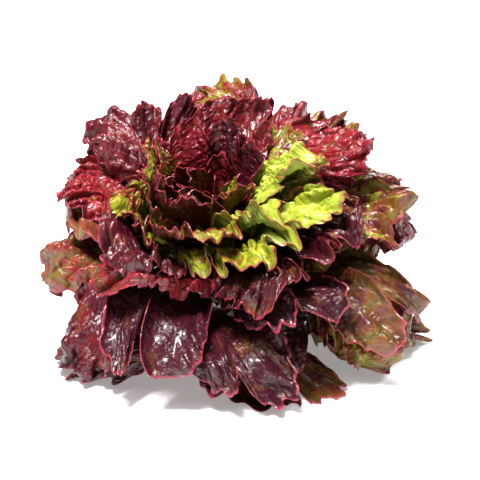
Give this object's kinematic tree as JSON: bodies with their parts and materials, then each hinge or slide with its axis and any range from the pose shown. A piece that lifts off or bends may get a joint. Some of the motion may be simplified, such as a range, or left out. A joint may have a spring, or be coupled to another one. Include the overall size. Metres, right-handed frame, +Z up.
{
  "type": "lollo rosso lettuce",
  "caption": "Loose-leaf lettuce head with ruffled dark red leaves spiralling round a short cut stem, green near its heart, resting tilted on its stem and front leaves.",
  "frame": {"origin": "middle of the stem's cut face, on the surface that the head rests on", "axes": "+Z up; the head leans towards -Y, so its heart looks up and towards -Y; +X to the right seen from -Y"},
  "size_m": [0.2785, 0.2623, 0.1821],
  "materials": {
    "frilled_leaf": "waxy, dark wine red with brown and green towards the stalk",
    "smooth_leaf": "waxy, dark purple with a pink-red rim",
    "blistered_leaf": "waxy and blistered, dark purple-red",
    "green_leaf": "waxy, yellow-green with pink-red freckles at the edge",
    "heart_leaf": "waxy, deep red with a bright rim",
    "cut_stem": "moist, pale and fibrous where it is cut"
  },
  "bodies": {
    "root": {"stem": "cut_stem", "leaf_01": "frilled_leaf", "leaf_02": "frilled_leaf", "leaf_03": "smooth_leaf", "leaf_04": "frilled_leaf", "leaf_05": "frilled_leaf", "leaf_06": "frilled_leaf", "leaf_07": "frilled_leaf", "leaf_08": "smooth_leaf", "leaf_09": "frilled_leaf", "leaf_10": "frilled_leaf", "leaf_11": "smooth_leaf", "leaf_12": "frilled_leaf", "leaf_13": "frilled_leaf", "leaf_14": "frilled_leaf", "leaf_15": "frilled_leaf", "leaf_16": "smooth_leaf", "leaf_17": "frilled_leaf", "leaf_18": "frilled_leaf", "leaf_19": "smooth_leaf", "leaf_20": "frilled_leaf", "leaf_21": "smooth_leaf", "leaf_22": "frilled_leaf", "leaf_23": "frilled_leaf", "leaf_24": "smooth_leaf", "leaf_25": "frilled_leaf", "leaf_26": "frilled_leaf", "leaf_27": "frilled_leaf", "leaf_28": "frilled_leaf", "leaf_29": "blistered_leaf", "leaf_30": "frilled_leaf", "leaf_31": "blistered_leaf", "leaf_32": "blistered_leaf", "leaf_33": "blistered_leaf", "leaf_34": "blistered_leaf", "leaf_35": "blistered_leaf", "leaf_36": "blistered_leaf", "leaf_37": "blistered_leaf", "leaf_38": "blistered_leaf", "leaf_39": "blistered_leaf", "leaf_40": "green_leaf", "leaf_41": "blistered_leaf", "leaf_42": "heart_leaf", "leaf_43": "heart_leaf", "leaf_44": "heart_leaf", "leaf_45": "green_leaf", "leaf_46": "heart_leaf", "leaf_47": "heart_leaf", "leaf_48": "green_leaf", "leaf_49": "heart_leaf", "leaf_50": "heart_leaf", "leaf_51": "heart_leaf", "leaf_52": "heart_leaf", "leaf_53": "heart_leaf", "leaf_54": "heart_leaf", "leaf_55": "heart_leaf", "leaf_56": "heart_leaf", "leaf_57": "heart_leaf"}
  },
  "joints": []
}
